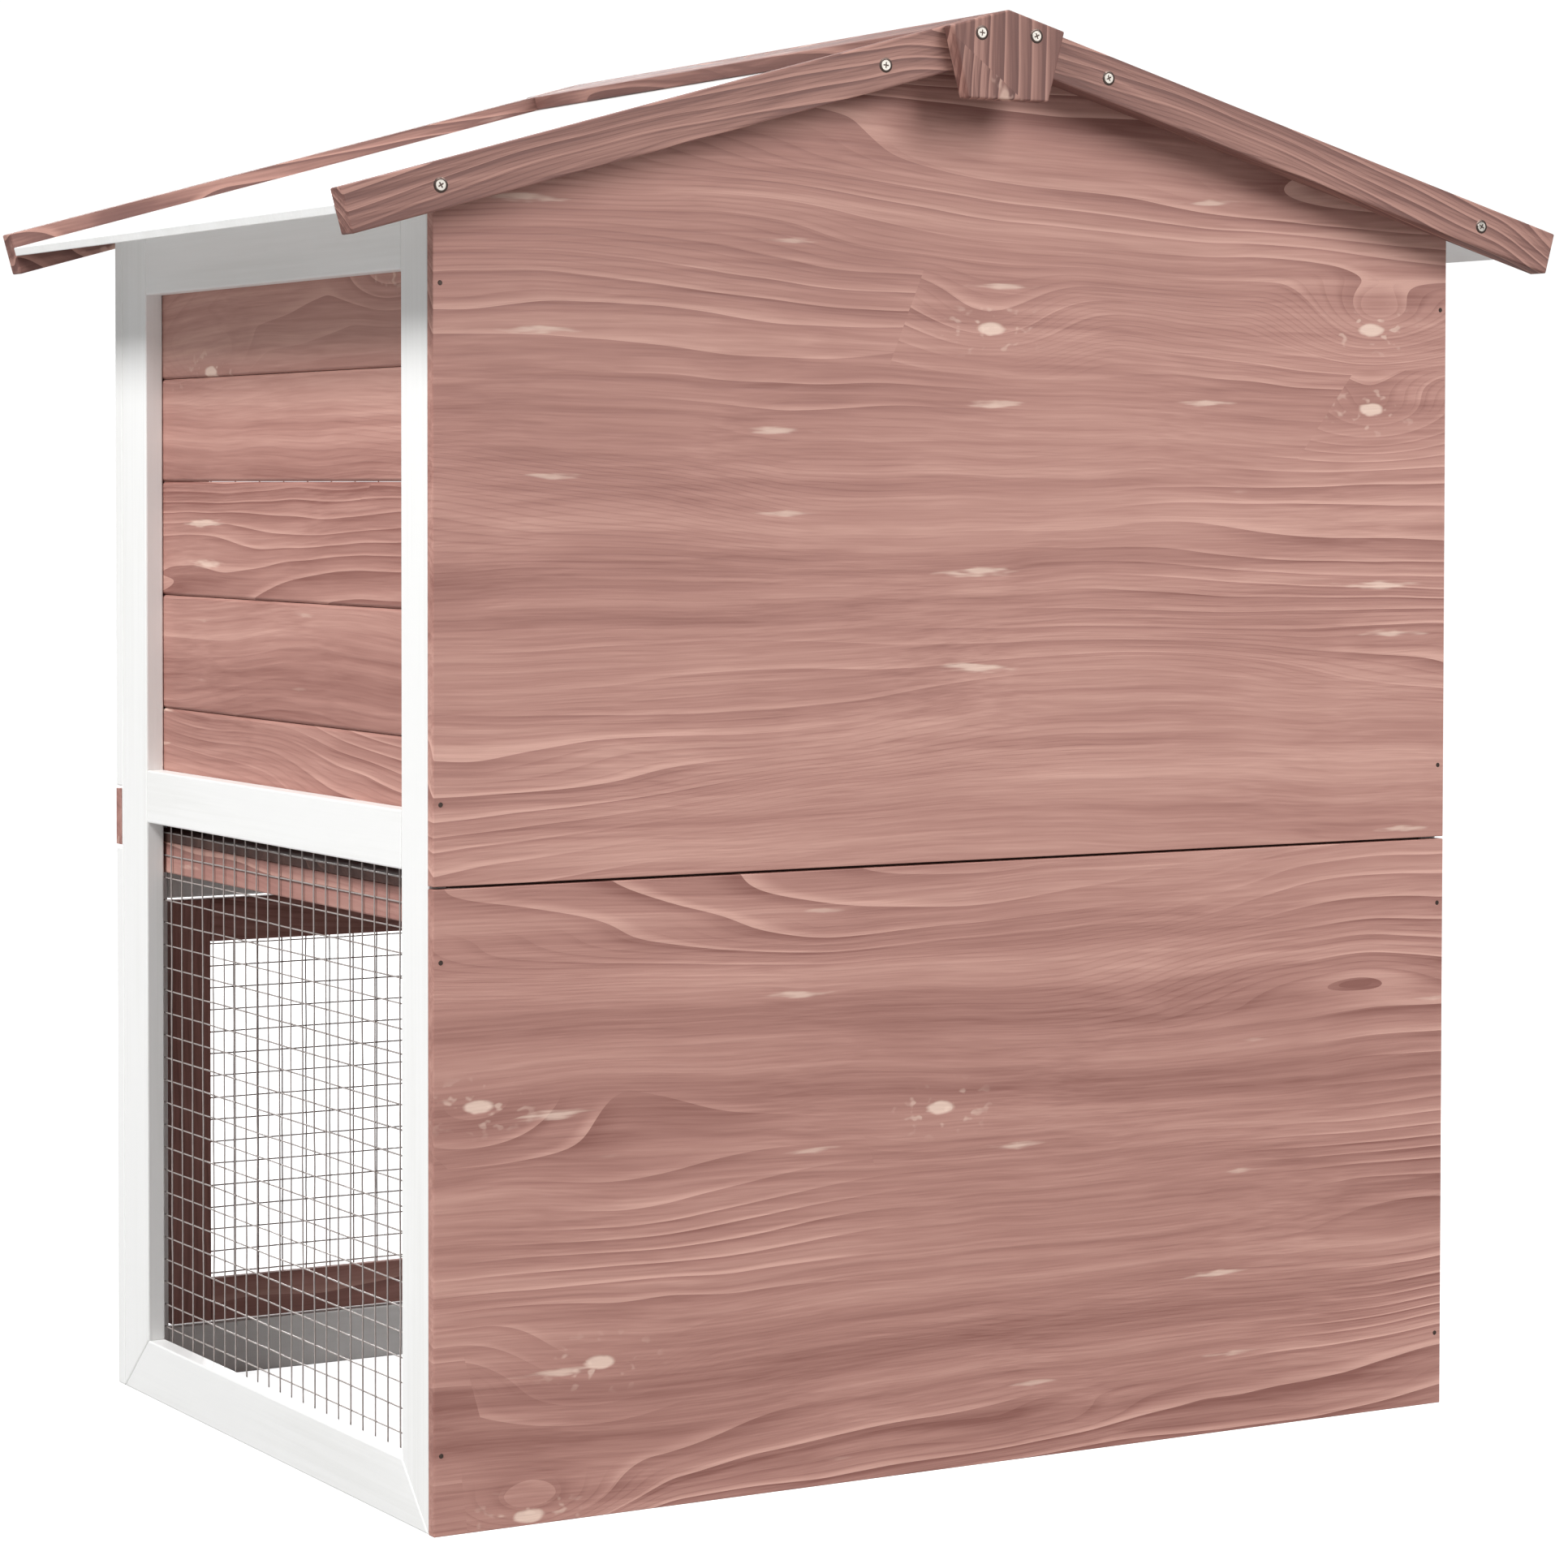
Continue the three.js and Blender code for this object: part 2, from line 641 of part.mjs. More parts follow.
// mesh or panel that lies in a bay's rebate
function baySize(from, to, height) {
  const play = 1;
  return {
    x: from - rebateWidth + play,
    z: doorMember - rebateWidth + play,
    width: to - from + 2 * (rebateWidth - play),
    height: height - 2 * (doorMember - rebateWidth + play),
  };
}

function meshInBay(group, name, from, to, height) {
  const bay = baySize(from, to, height);
  const y = doorFront + rebateDepth - fit - gridWire;
  piece(group, name, wireGrid(bay.width, bay.height), zinc, doorLeft + bay.x, y, bay.z);
}

function lowerDoor() {
  const bottom = frontBottomRailHeight + doorGap;
  const height = lowerOpeningHeight - 2 * doorGap;
  const group = doorGroup(bottom);
  const bays = [[doorMember, doorWidth - doorMember]];
  piece(group, 'lower_door_frame', doorFrame(doorWidth, height, bays), stained, doorLeft, doorFront, 0);
  meshInBay(group, 'lower_door_mesh', ...bays[0], height);
  hinges(group, 'lower_door', height);
  return group;
}

function upperDoor() {
  const bottom = upperOpeningBottom + doorGap;
  const height = upperOpeningHeight - 2 * doorGap;
  const group = doorGroup(bottom);
  const bar = doorWidth / 2 + doorBarOffset;
  const bays = [
    [doorMember, bar - doorMember / 2],
    [bar + doorMember / 2, doorWidth - doorMember],
  ];
  piece(group, 'upper_door_frame', doorFrame(doorWidth, height, bays), stained, doorLeft, doorFront, 0);
  const bay = baySize(...bays[0], height);
  const panelBack = doorFront + rebateDepth - fit;
  board(group, 'upper_door_panel', stained,
    [doorLeft + bay.x, panelBack - panelThickness, bay.z],
    [doorLeft + bay.x + bay.width, panelBack, bay.z + bay.height]);
  meshInBay(group, 'upper_door_mesh', ...bays[1], height);
  hinges(group, 'upper_door', height);
  return group;
}

// turn button standing upright on its screw, clear of the door
function turnButton() {
  const radius = buttonWidth / 2;
  const straight = buttonLength / 2 - radius;
  const shape = new THREE.Shape();
  shape.absarc(0, straight, radius, 0, Math.PI, false);
  shape.absarc(0, -straight, radius, Math.PI, 2 * Math.PI, false);
  const bar = extrude(shape, buttonThickness).rotateX(Math.PI / 2);
  const head = new THREE.CylinderGeometry(
    buttonScrewTopRadius, buttonScrewRadius, buttonScrewHeight, 12)
    .rotateX(Math.PI)
    .translate(0, buttonScrewSink - buttonScrewHeight / 2 - buttonThickness, 0);
  return toGeometry(toSolid(bar).add(toSolid(head)));
}

function turnButtons() {
  const group = new THREE.Group();
  const x = openingHalf + buttonFromOpening;
  const lowerZ = frontBottomRailHeight + lowerOpeningHeight / 2;
  const upperZ = upperOpeningBottom + upperOpeningHeight / 2;
  piece(group, 'lower_turn_button', turnButton(), stained, x, frontFace - fit, lowerZ);
  piece(group, 'upper_turn_button', turnButton(), stained, x, frontFace - fit, upperZ);
  return group;
}

const hutch = new THREE.Group();
hutch.name = 'rabbit_hutch';
hutch.add(sideWall(-1), sideWall(1), backWall(), frontFrame(), roof());
hutch.add(floors(), tray(), lowerDoor(), upperDoor(), turnButtons());

export default hutch;
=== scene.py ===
"""Two-storey rabbit hutch: finishes, welded mesh, fixings, floor and light round the fixed frame."""
import json
import math
import bmesh
import bpy
from mathutils import Matrix, Vector


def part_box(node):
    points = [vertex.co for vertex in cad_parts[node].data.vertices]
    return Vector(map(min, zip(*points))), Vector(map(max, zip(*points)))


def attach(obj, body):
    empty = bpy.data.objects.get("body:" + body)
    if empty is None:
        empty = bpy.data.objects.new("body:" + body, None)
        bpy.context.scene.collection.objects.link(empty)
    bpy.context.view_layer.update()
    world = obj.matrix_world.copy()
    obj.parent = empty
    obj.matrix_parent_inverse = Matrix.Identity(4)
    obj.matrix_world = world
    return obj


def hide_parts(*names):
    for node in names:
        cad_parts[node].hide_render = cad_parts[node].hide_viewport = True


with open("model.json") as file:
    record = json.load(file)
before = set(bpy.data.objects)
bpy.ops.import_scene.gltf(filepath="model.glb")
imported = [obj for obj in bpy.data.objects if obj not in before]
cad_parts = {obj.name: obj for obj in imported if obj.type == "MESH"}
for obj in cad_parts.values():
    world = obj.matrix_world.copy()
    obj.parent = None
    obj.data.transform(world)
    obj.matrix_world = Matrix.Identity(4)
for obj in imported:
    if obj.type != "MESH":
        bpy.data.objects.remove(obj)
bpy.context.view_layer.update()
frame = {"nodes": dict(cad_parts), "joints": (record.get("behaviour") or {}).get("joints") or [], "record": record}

RECORD = frame["record"]
BODY_OF = {node: body for body, nodes in RECORD["behaviour"]["bodies"].items() for node in nodes}
COLLECTION = bpy.context.scene.collection

# ---- sizes, in metres ----
PITCH = math.radians(15.6)         # roof slope
ARRIS = 0.0011                     # corners of planed battens, rubbed down before painting
THIN_ARRIS = 0.0006                # corners of thin boards and panels
DOOR_ARRIS = 0.0007                # corners of a door's battens
BUTTON_ARRIS = 0.0009
METAL_EDGE = 0.00035
MERGE = 1e-5                       # points nearer than this are one
WIRE_RADIUS = 0.00055
WIRE_SPACING = 0.019               # between upright wires
WIRE_RISE = 0.016                  # between level wires
WIRE_SIDES = 6
WIRE_LAYER = 0.8                   # of a radius: how far each layer of wires lies from the middle
DOOR_MEMBER = 0.031                # width of a door batten
DOOR_REBATE = 0.007                # depth of the step that a mesh or panel sits in
REBATE_LIP = 0.006                 # width of that step
PANEL_PLAY = 0.001                 # between a mesh or panel and the step's side
JOINT_GAP = 0.00025                # hairline between two battens of a door
PANEL_GAP = 0.0014                 # taken off the back panels where they meet
BUTTON_THICKNESS = 0.006
KNUCKLE_RADIUS = 0.0032
KNUCKLE_SHARE = 0.34               # of half a hinge's height, up and down: the door leaf's knuckle
KNUCKLE_PLAY = 0.02                # of half a hinge's height, between two knuckles
LEAF_SHEET = 0.0015
LEAF_ROOM = 0.0036                 # from the hinge line to the flat of a leaf
LEAF_LAP = 0.0004                  # by which a knuckle's tongue runs into the flat
PIN_PROUD = 0.0004
BARGE_SCREW_RADIUS = 0.0036
BARGE_SCREWS = (0.086, 0.400)      # from the middle of the roof to each screw
BARGE_MIDDLE = 0.0145              # from a barge board's top edge down to its screws, square to the board
CAP_SCREWS = 0.021                 # from the middle of a cap to each screw
CAP_SCREW_DROP = 0.016             # below the top of the cap
BUTTON_SCREW_RADIUS = 0.0034
HINGE_SCREW_RADIUS = 0.0031
SHADE_RING_SPREAD = 1.35                  # painted shade round a screw's head, for the shadow in its countersink, in radii of the head
SHADE_RING_HEIGHT = 0.00025
NAIL_RADIUS = 0.0016
NAIL_HEIGHT = 0.0003
NAIL_INSET = 0.005                 # from the side of the back panels
NAIL_LEVELS = (0.050, 0.354, 0.451, 0.770)

# ---- colours, linear ----
STAIN = {"Body": (0.43, 0.218, 0.180), "Deep": (0.25, 0.100, 0.080), "Pale": (0.62, 0.36, 0.30),
         "Cream": (0.86, 0.66, 0.55)}
TRIM = {"Body": (0.178, 0.080, 0.066), "Deep": (0.11, 0.042, 0.034), "Pale": (0.40, 0.215, 0.175),
        "Cream": (0.60, 0.40, 0.33)}
DOOR = {"Body": (0.38, 0.186, 0.157), "Deep": (0.20, 0.088, 0.070), "Pale": (0.52, 0.30, 0.250),
        "Cream": (0.74, 0.52, 0.43)}
# PLY is darker than bare plywood: partly a dark stain, partly painted shade for the shaded edge of the upper floor
PLY = {"Body": (0.13, 0.062, 0.050), "Deep": (0.06, 0.026, 0.020), "Pale": (0.22, 0.12, 0.095),
       "Cream": (0.35, 0.22, 0.17)}
WHITE = {"Paint": (0.90, 0.90, 0.89), "Thin": (0.80, 0.80, 0.78), "Wear": 0.6}
FLOOR = ((0.38, 0.38, 0.38), (0.41, 0.41, 0.41))
FLOOR_GLOW = 0.90                  # where the floor is seen directly
ROOM_LIGHT, ROOM_SEEN = 0.32, 1.05     # what the white room gives, and how bright it looks

# ---- wood pattern: repeats to a metre, along and across a board ----
SWAY, SWAY_REACH = (1.7, 4.0), 0.055           # the grain leaning up and down, and how far in metres
RIPPLE, RIPPLE_REACH = (9.0, 22.0), 0.005      # the small waves in it
RING_SHAPE, RING_SPREAD = (1.25, 8.5), 12.0    # the wide loops of the rings
FINE_RINGS = 3.37                              # narrow lines to one ring
DRAWN, LINED = (1.6, 8.0), (1.1, 11.0)         # where rings and narrow lines show
BANDS = (((0.45, 13.0), 1.6), ((0.9, 44.0), 1.5))
FIBRES = (((1.6, 130.0), 1.1), ((5.0, 330.0), 0.8), ((20.0, 700.0), 0.6))
SMEAR = (26.0, 6.0)
GRIT, FRAYED = (110.0, 170.0), (55.0, 420.0)
KNOT_CELLS, KNOT_HALF = (3.6, 8.5), (0.011, 0.0045)      # one knot at most to a cell, and its half size
DASH_CELLS, DASH_LONGEST, DASH_SLIM = (6.0, 22.0), 0.040, 0.10

# ---- lights and camera ----
LIT_POINT = (0.0, 0.0, 0.45)
LIGHTS = {                         # place, width in metres, power in watts
    "key": ((3.9, 0.8, 4.55), 1.7, 318.0),
    "fill": ((-1.6, 3.6, 2.9), 2.6, 138.0),
    "front": ((-0.9, -3.5, 1.7), 2.0, 85.0)}
FLOOR_HALF = 30.0
EYE = (1.518, 2.632, 0.647)
EYE_TURN, EYE_DIP, EYE_ROLL = math.radians(30.12), math.radians(1.66), math.radians(0.074)
LENS, SENSOR = 98.31, 36.0
EYE_SHIFT = -0.109                 # keeps the uprights almost parallel although the eye is high


# ---------- shader trees ----------

class Tree:
    """A node tree being wired: each call adds one node and returns what it puts out."""

    def __init__(self, tree):
        self.tree = tree

    def node(self, kind, inputs=None, **settings):
        made = self.tree.nodes.new(kind)
        for name, value in settings.items():
            setattr(made, name, value)
        for name, value in (inputs or {}).items():
            self.feed(made.inputs[name], value)
        return made

    def feed(self, socket, value):
        if isinstance(value, bpy.types.NodeSocket):
            self.tree.links.new(value, socket)
        else:
            socket.default_value = value

    def math(self, operation, a, b=0.0):
        return self.node("ShaderNodeMath", {0: a, 1: b}, operation=operation).outputs[0]

    def scaled(self, vector, scale):
        made = self.node("ShaderNodeVectorMath", {0: vector, 1: scale}, operation="MULTIPLY")
        return made.outputs[0]

    def moved(self, vector, offset):
        return self.node("ShaderNodeVectorMath", {0: vector, 1: offset}, operation="ADD").outputs[0]

    def noise(self, vector, along, across, detail=2.0, rough=0.5, output="Fac"):
        """Soft blotches, with so many to a metre along the board and across it."""
        made = self.node("ShaderNodeTexNoise", {
            "Vector": self.scaled(vector, (along, across, across)), "Scale": 1.0, "Detail": detail,
            "Roughness": rough})
        return made.outputs[output]

    def between(self, value, low, high, to_low=0.0, to_high=1.0, smooth=True):
        """value from low to high, spread over to_low to to_high and held at both ends."""
        kind = "SMOOTHSTEP" if smooth else "LINEAR"
        made = self.node("ShaderNodeMapRange", {
            "Value": value, "From Min": low, "From Max": high, "To Min": to_low, "To Max": to_high},
            interpolation_type=kind)
        return made.outputs["Result"]

    def mix(self, factor, a, b):
        made = self.node("ShaderNodeMix", data_type="RGBA", blend_type="MIX")
        self.feed(made.inputs[0], factor)
        self.feed(made.inputs[6], a)
        self.feed(made.inputs[7], b)
        return made.outputs[2]


def group(name, inputs, outputs):
    """An empty shader group with named sockets: (tree to wire, its inputs, the node its results go to)."""
    made = bpy.data.node_groups.new(name, "ShaderNodeTree")
    for label, kind, value in inputs:
        socket = made.interface.new_socket(label, in_out="INPUT", socket_type=kind)
        if value is not None:
            socket.default_value = value
    for label, kind in outputs:
        made.interface.new_socket(label, in_out="OUTPUT", socket_type=kind)
    tree = Tree(made)
    return made, tree, tree.node("NodeGroupInput").outputs, tree.node("NodeGroupOutput")


FLOAT, COLOUR, VECTOR = "NodeSocketFloat", "NodeSocketColor", "NodeSocketVector"


def opaque(colour):
    return (*colour, 1.0)


def centred(t, value, amount):
    """A value that runs from 0 to 1, made to swing by half the amount either way."""
    return t.math("MULTIPLY", t.math("SUBTRACT", value, 0.5), amount)


def total(t, *parts):
    made = parts[0]
    for part in parts[1:]:
        made = t.math("ADD", made, part)
    return made


def scattered(t, vector, along, across):
    """One random spot in each cell of a face.

    Puts out how far a point lies from it along the board and across it, the spot's lot from 0 to 1, and
    the distance from it in cells.
    """
    scale = (along, across, 1.0)
    cells = t.node("ShaderNodeTexVoronoi", {"Vector": t.scaled(vector, scale), "Scale": 1.0},
                   voronoi_dimensions="2D")
    offset = t.node("ShaderNodeVectorMath", {0: t.scaled(vector, scale), 1: cells.outputs["Position"]},
                    operation="SUBTRACT").outputs[0]
    parts = t.node("ShaderNodeSeparateXYZ", {0: offset}).outputs
    lot = t.node("ShaderNodeSeparateColor", {0: cells.outputs["Color"]}).outputs[0]
    return (t.math("ABSOLUTE", t.math("DIVIDE", parts[0], along)),
            t.math("ABSOLUTE", t.math("DIVIDE", parts[1], across)), lot, cells.outputs["Distance"])


def stained_pine_group():
    """Planed and stained softwood with its length along X: rings, fibres, pale dashes and knots."""
    made, t, given, out = group("stained_pine", [
        ("Vector", VECTOR, None), ("Body", COLOUR, None), ("Deep", COLOUR, None), ("Pale", COLOUR, None),
        ("Cream", COLOUR, None), ("Rings", FLOAT, 70.0), ("Figure", FLOAT, 1.0), ("Fibre", FLOAT, 1.0),
        ("Bands", FLOAT, 1.0), ("Dashes", FLOAT, 1.0), ("Knots", FLOAT, 1.0)],
        [("Color", COLOUR), ("Roughness", FLOAT), ("Height", FLOAT)])
    place = given["Vector"]
    axes = t.node("ShaderNodeSeparateXYZ", {0: place}).outputs
    level = t.math("ADD", t.math("MULTIPLY", axes[1], 0.8), axes[2])
    face = t.node("ShaderNodeCombineXYZ", {0: axes[0], 1: level, 2: 0.0}).outputs[0]
    # knots first, because the rings run round them
    knot_x, knot_y, knot_lot, distance = scattered(t, face, *KNOT_CELLS)
    chosen = t.math("MULTIPLY", t.between(knot_lot, 0.62, 0.64), given["Knots"])
    swell = t.math("MULTIPLY", t.between(distance, 0.40, 0.0), chosen)
    # the wander of the grain along the board
    half = (-0.5, -0.5, -0.5)
    sway = t.moved(t.noise(place, *SWAY, 2.0, 0.45, "Color"), half)
    ripple = t.moved(t.noise(place, *RIPPLE, 1.0, 0.5, "Color"), half)
    leaning = t.moved(place, t.scaled(sway, (0.0, SWAY_REACH, SWAY_REACH)))
    bent = t.moved(leaning, t.scaled(ripple, (0.0, RIPPLE_REACH, RIPPLE_REACH)))
    axes = t.node("ShaderNodeSeparateXYZ", {0: bent}).outputs
    across = t.math("ADD", t.math("MULTIPLY", axes[1], 0.8), axes[2])
    shape = t.noise(bent, *RING_SHAPE, 1.6, 0.45)
    field = total(t, t.math("MULTIPLY", across, given["Rings"]), centred(t, shape, RING_SPREAD),
                  t.math("MULTIPLY", swell, 2.4))
    ring = t.math("FRACT", field)
    fine = t.math("FRACT", t.math("MULTIPLY", field, FINE_RINGS))
    drawn = t.math("MULTIPLY", t.between(t.noise(place, *DRAWN, 1.5), 0.42, 0.60), given["Figure"])
    lined = t.math("MULTIPLY", t.between(t.noise(place, *LINED, 1.0), 0.43, 0.60), given["Figure"])
    early = t.math("MULTIPLY", t.between(ring, 0.26, 0.0), 0.85)
    late = t.between(ring, 0.62, 0.98, 0.0, -0.55)
    figure = t.math("MULTIPLY", total(t, early, late, centred(t, ring, -0.42)), drawn)
    lines = t.math("MULTIPLY", t.between(fine, 0.55, 1.0, 0.0, -0.38), lined)
    bands = total(t, *(centred(t, t.noise(bent, *repeats, 1.0), amount) for repeats, amount in BANDS))
    fibres = total(t, *(centred(t, t.noise(bent, *repeats, 1.0), amount) for repeats, amount in FIBRES))
    smear = centred(t, t.noise(place, *SMEAR, 1.0), 0.16)
    tone = total(t, figure, lines, t.math("MULTIPLY", bands, given["Bands"]),
                 t.math("MULTIPLY", fibres, given["Fibre"]), smear)
    colour = t.mix(t.between(tone, 0.0, -1.0, smooth=False), given["Body"], given["Deep"])
    colour = t.mix(t.between(tone, 0.0, 1.0, smooth=False), colour, given["Pale"])
    # short pale dashes where the stain did not take
    grit = t.noise(place, *GRIT, 1.0)
    frayed = t.noise(place, *FRAYED, 1.0)
    stirred = t.moved(face, t.scaled(ripple, (0.0, 0.006, 0.0)))
    dash_x, dash_y, lot, _ = scattered(t, stirred, *DASH_CELLS)
    run = t.math("MULTIPLY", t.math("POWER", lot, 3.0), DASH_LONGEST)
    dash = t.math("ADD", t.math("DIVIDE", dash_x, run),
                  t.math("POWER", t.math("DIVIDE", dash_y, t.math("MULTIPLY", run, DASH_SLIM)), 2.0))
    dash = t.math("ADD", dash, centred(t, frayed, 1.8))
    dash = t.math("MULTIPLY", t.between(dash, 1.0, 0.0), t.between(lot, 0.62, 0.95, 0.0, 0.62))
    colour = t.mix(t.math("MULTIPLY", dash, given["Dashes"]), colour, given["Cream"])
    # oval knots, and the specks round them
    oval = t.math("ADD", t.math("POWER", t.math("DIVIDE", knot_x, KNOT_HALF[0]), 2.0),
                  t.math("POWER", t.math("DIVIDE", knot_y, KNOT_HALF[1]), 2.0))
    spread = t.math("ADD", oval, centred(t, grit, 0.9))
    knot = t.math("MULTIPLY", t.between(spread, 1.2, 0.45), chosen)
    specks = t.math("MULTIPLY", t.between(grit, 0.60, 0.72), t.between(distance, 0.20, 0.04))
    specks = t.math("MULTIPLY", specks, chosen)
    colour = t.mix(t.math("MULTIPLY", specks, 0.45), colour, given["Cream"])
    colour = t.mix(t.math("MULTIPLY", knot, 0.75), colour, given["Cream"])
    t.feed(out.inputs["Color"], colour)
    t.feed(out.inputs["Roughness"], t.between(tone, -0.6, 0.6, 0.58, 0.72))
    t.feed(out.inputs["Height"], t.math("ADD", tone, t.math("MULTIPLY", knot, -0.5)))
    return made


def brushed_paint_group():
    """Opaque paint brushed along X, with the grain just showing through and faint uneven cover."""
    made, t, given, out = group("brushed_paint", [
        ("Vector", VECTOR, None), ("Paint", COLOUR, None), ("Thin", COLOUR, None), ("Wear", FLOAT, 1.0)],
        [("Color", COLOUR), ("Roughness", FLOAT), ("Height", FLOAT)])
    place = given["Vector"]
    brush = t.noise(place, 5.0, 240.0, 3.0, 0.6)
    cover = t.noise(place, 3.0, 22.0, 2.0, 0.5)
    peel = t.noise(place, 320.0, 420.0, 1.0)
    thin = t.math("MULTIPLY", t.between(t.math("ADD", t.math("MULTIPLY", brush, 0.5), cover), 0.62, 1.0),
                  given["Wear"])
    t.feed(out.inputs["Color"], t.mix(thin, given["Paint"], given["Thin"]))
    t.feed(out.inputs["Roughness"], t.between(cover, 0.3, 0.7, 0.42, 0.58))
    t.feed(out.inputs["Height"], t.math("ADD", brush, t.math("MULTIPLY", peel, 0.35)))
    return made


def galvanised_group():
    """Zinc on steel: flat crystals of slightly different grey, with a dull bloom over them."""
    made, t, given, out = group("galvanised", [
        ("Vector", VECTOR, None), ("Zinc", COLOUR, None), ("Dull", COLOUR, None), ("Crystal", FLOAT, 90.0)],
        [("Color", COLOUR), ("Roughness", FLOAT), ("Height", FLOAT)])
    place = given["Vector"]
    sized = t.node("ShaderNodeVectorMath", {0: place, "Scale": given["Crystal"]}, operation="SCALE")
    cells = t.node("ShaderNodeTexVoronoi", {"Vector": sized.outputs[0], "Scale": 1.0})
    shade = t.node("ShaderNodeSeparateColor", {0: cells.outputs["Color"]}).outputs[0]
    bloom = t.noise(place, 30.0, 30.0, 4.0, 0.6)
    colour = t.mix(t.math("MULTIPLY", shade, 0.45), given["Zinc"], given["Dull"])
    t.feed(out.inputs["Color"], t.mix(t.between(bloom, 0.5, 0.8, 0.0, 0.6), colour, given["Dull"]))
    t.feed(out.inputs["Roughness"], t.between(t.math("ADD", shade, bloom), 0.3, 1.6, 0.28, 0.5))
    t.feed(out.inputs["Height"], t.math("MULTIPLY", shade, 0.4))
    return made


PINE = stained_pine_group()
PAINT = brushed_paint_group()
ZINC = galvanised_group()

ALONG = {"x": (0.0, 0.0, 0.0), "y": (0.0, 0.0, -math.pi / 2), "z": (0.0, math.pi / 2, 0.0),
         "right_slope": (0.0, -PITCH, 0.0), "left_slope": (0.0, PITCH, 0.0)}


def finish(name, effect, along, values, bump, number=0, metallic=0.0, coat=0.0):
    """A material that runs one of the groups along a board.

    number shifts the pattern to fresh wood. bump is the strength of its relief and the height in metres.
    """
    made = bpy.data.materials.get(name)
    if made:
        return made
    made = bpy.data.materials.new(name)
    made.use_nodes = True
    t = Tree(made.node_tree)
    shader = made.node_tree.nodes["Principled BSDF"]
    shader.inputs["Metallic"].default_value = metallic
    shader.inputs["Coat Weight"].default_value = coat
    shader.inputs["Coat Roughness"].default_value = 0.35
    place = t.node("ShaderNodeTexCoord").outputs["Object"]
    turned = t.node("ShaderNodeMapping", {"Vector": place})
    turned.inputs["Rotation"].default_value = ALONG[along]
    turned.inputs["Location"].default_value = (1.37 * number, 0.61 * number, 0.43 * number)
    surface = t.node("ShaderNodeGroup", node_tree=effect)
    t.feed(surface.inputs["Vector"], turned.outputs[0])
    for socket, value in values.items():
        t.feed(surface.inputs[socket], opaque(value) if isinstance(value, tuple) else value)
    relief = t.node("ShaderNodeBump", {"Height": surface.outputs["Height"], "Strength": bump[0],
                                       "Distance": bump[1]})
    t.feed(shader.inputs["Base Color"], surface.outputs["Color"])
    t.feed(shader.inputs["Roughness"], surface.outputs["Roughness"])
    t.feed(shader.inputs["Normal"], relief.outputs[0])
    return made


def stained(tone, along, number, **more):
    """Stained pine in one of the hutch's three browns."""
    palette = {"stain": STAIN, "trim": TRIM, "door": DOOR}[tone]
    return finish(f"{tone}_{along}_{number}", PINE, along, {**palette, **more}, (0.35, 0.0006), number)


def white(along, number=0):
    return finish(f"white_paint_{along}_{number}", PAINT, along, WHITE, (0.25, 0.0004), number, coat=0.05)


def plywood(along):
    values = {**PLY, "Rings": 40.0, "Dashes": 0.2, "Knots": 0.0}
    return finish(f"plywood_{along}", PINE, along, values, (0.25, 0.0004), 3)


def metal(name, zinc, dull, crystal, metallic=0.9):
    return finish(name, ZINC, "x", {"Zinc": zinc, "Dull": dull, "Crystal": crystal}, (0.2, 0.0002),
                  metallic=metallic)


MESH_WIRE = metal("galvanised_wire", (0.50, 0.45, 0.43), (0.38, 0.33, 0.31), 260.0, 0.35)
TRAY_SHEET = metal("galvanised_sheet", (0.66, 0.68, 0.70), (0.50, 0.53, 0.56), 75.0)
HINGE_STEEL = metal("plated_steel", (0.62, 0.62, 0.60), (0.46, 0.45, 0.42), 400.0)
SCREW_STEEL = metal("screw_steel", (0.70, 0.66, 0.60), (0.46, 0.42, 0.38), 700.0)
# dark steel of the nail heads, also used for the painted shade round the screw heads
NAIL_STEEL_AND_SCREW_SHADE = metal("nail_steel_and_screw_shade", (0.10, 0.07, 0.06), (0.06, 0.045, 0.04), 700.0)


# ---------- mesh helpers ----------

def keep(name, bm, body, material, smooth=False):
    """Makes an object of a finished bmesh and hangs it on its body."""
    mesh = bpy.data.meshes.new(name)
    for face in bm.faces:
        face.smooth = smooth
    bm.to_mesh(mesh)
    bm.free()
    mesh.materials.append(material)
    made = bpy.data.objects.new(name, mesh)
    COLLECTION.objects.link(made)
    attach(made, body)
    return made


def ease(bm, width, segments=2, least=25.0):
    """Rounds every edge that turns by more than least degrees."""
    sharp = [e for e in bm.edges if e.is_manifold and e.calc_face_angle(0.0) > math.radians(least)]
    bmesh.ops.bevel(bm, geom=sharp, offset=width, offset_type="OFFSET", affect="EDGES",
                    segments=segments, profile=0.5, material=-1, clamp_overlap=True)


def eased(node, material, width=ARRIS, segments=2, trim=None):
    """The node's own shape with its corners rubbed down.

    trim is (height, by): the level edge at that height moves by so much.
    """
    bm = bmesh.new()
    bm.from_mesh(frame["nodes"][node].data)
    bmesh.ops.remove_doubles(bm, verts=bm.verts, dist=MERGE)
    bmesh.ops.dissolve_limit(bm, angle_limit=math.radians(1.0), verts=bm.verts, edges=bm.edges)
    if trim:
        edge = [v for v in bm.verts if abs(v.co.z - trim[0]) < MERGE * 10]
        bmesh.ops.translate(bm, verts=edge, vec=(0.0, 0.0, trim[1]))
    ease(bm, width, segments)
    made = keep(f"{node}_finished", bm, BODY_OF[node], material)
    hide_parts(node)
    return made


def block(bm, low, high):
    """A box between two corners."""
    size = Vector(high) - Vector(low)
    middle = (Vector(high) + Vector(low)) / 2
    matrix = Matrix.Translation(middle) @ Matrix.Diagonal((*size, 1.0))
    bmesh.ops.create_cube(bm, size=1.0, matrix=matrix)


